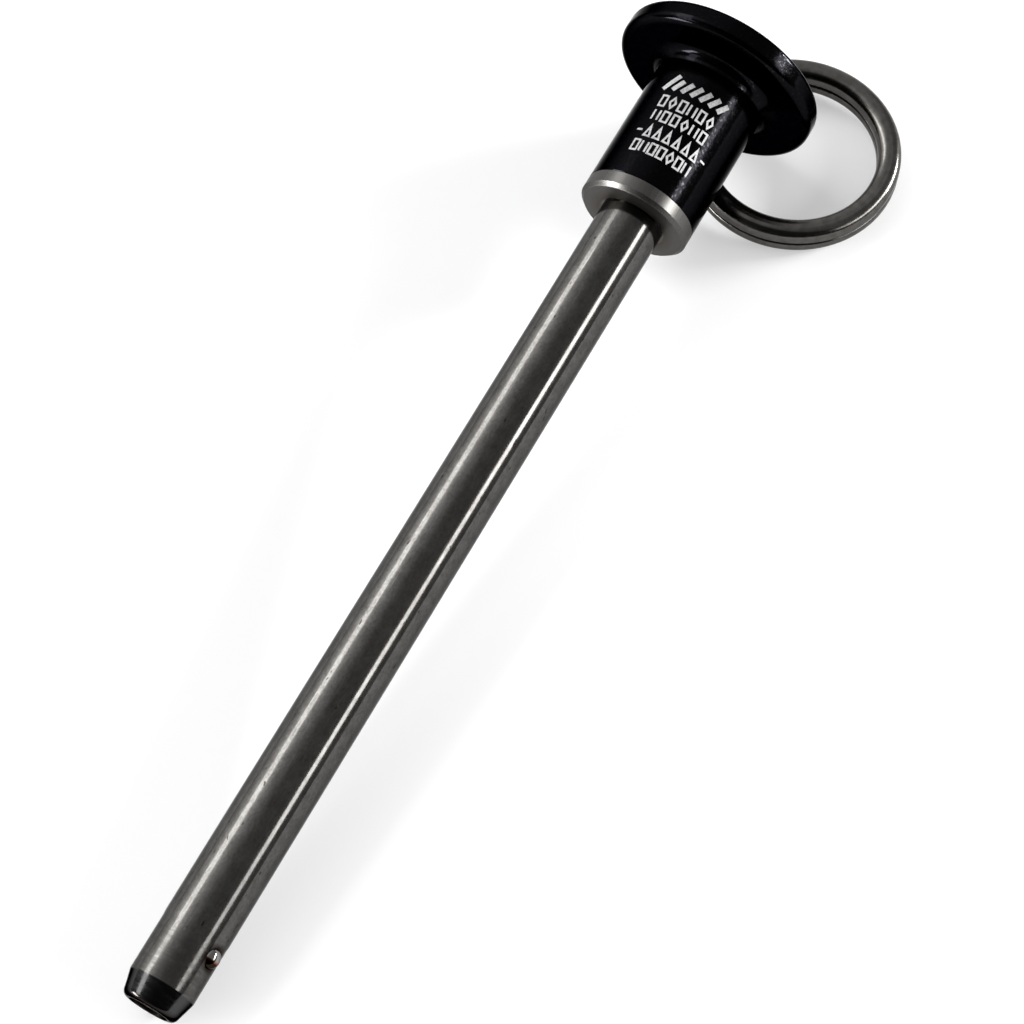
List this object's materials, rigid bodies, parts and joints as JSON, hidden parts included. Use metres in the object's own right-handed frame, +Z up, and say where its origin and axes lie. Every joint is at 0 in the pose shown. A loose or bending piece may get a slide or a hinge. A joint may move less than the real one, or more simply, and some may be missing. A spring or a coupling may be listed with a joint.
{
  "type": "ball lock pin",
  "caption": "Quick-release ball lock pin: plain shank with lock balls at the nose, shoulder, black button handle with a thumb flange, and a split ring through the flange.",
  "frame": {"origin": "centre of the shoulder's seating face, on the pin's axis", "axes": "the pin lies on its side as it rests: +X is level, from the nose towards the button, +Z is up, and the split ring lies on the -Y side"},
  "size_m": [0.1147, 0.0288, 0.0205],
  "materials": {
    "shank_steel": "ground stainless steel, dark satin, with fine lengthwise wear",
    "handle_anodize": "turned aluminium, black anodized, semi-gloss",
    "button_steel": "turned stainless steel",
    "spindle_steel": "ground stainless steel",
    "spring_wire": "drawn stainless spring wire",
    "ball_steel": "polished hardened steel balls",
    "ring_steel": "dark tumbled steel wire, semi-gloss"
  },
  "bodies": {
    "pin_body": {"shank": "shank_steel", "handle": "handle_anodize", "return_spring": "spring_wire"},
    "button_and_spindle": {"push_button": "button_steel", "spindle": "spindle_steel"},
    "ball_1": {"lock_ball_1": "ball_steel"},
    "ball_2": {"lock_ball_2": "ball_steel"},
    "ring": {"split_ring": "ring_steel"}
  },
  "joints": [
    {"name": "button_press", "type": "slide", "parent": "pin_body", "child": "button_and_spindle", "axis": [-0.9975, 0, -0.0707], "range_m": [0, 0.0028], "stiffness_N_per_m": 1300, "deforming": ["return_spring"]},
    {"name": "ball_1_retract", "type": "slide", "parent": "pin_body", "child": "ball_1", "axis": [0.0224, 0.9483, -0.3165], "range_m": [0, 0.00048]},
    {"name": "ball_2_retract", "type": "slide", "parent": "pin_body", "child": "ball_2", "axis": [-0.0224, -0.9483, 0.3165], "range_m": [0, 0.00048]},
    {"name": "ring_swing", "type": "hinge", "parent": "pin_body", "child": "ring", "pos_m": [0.01802, 0.00135, -0.00642], "axis": [0.9975, 0, 0.0707], "range_deg": [0, 190]}
  ],
  "couplings": [
    {"joint": "ball_1_retract", "follows": "button_press", "ratio": 0.17143},
    {"joint": "ball_2_retract", "follows": "button_press", "ratio": 0.17143}
  ]
}
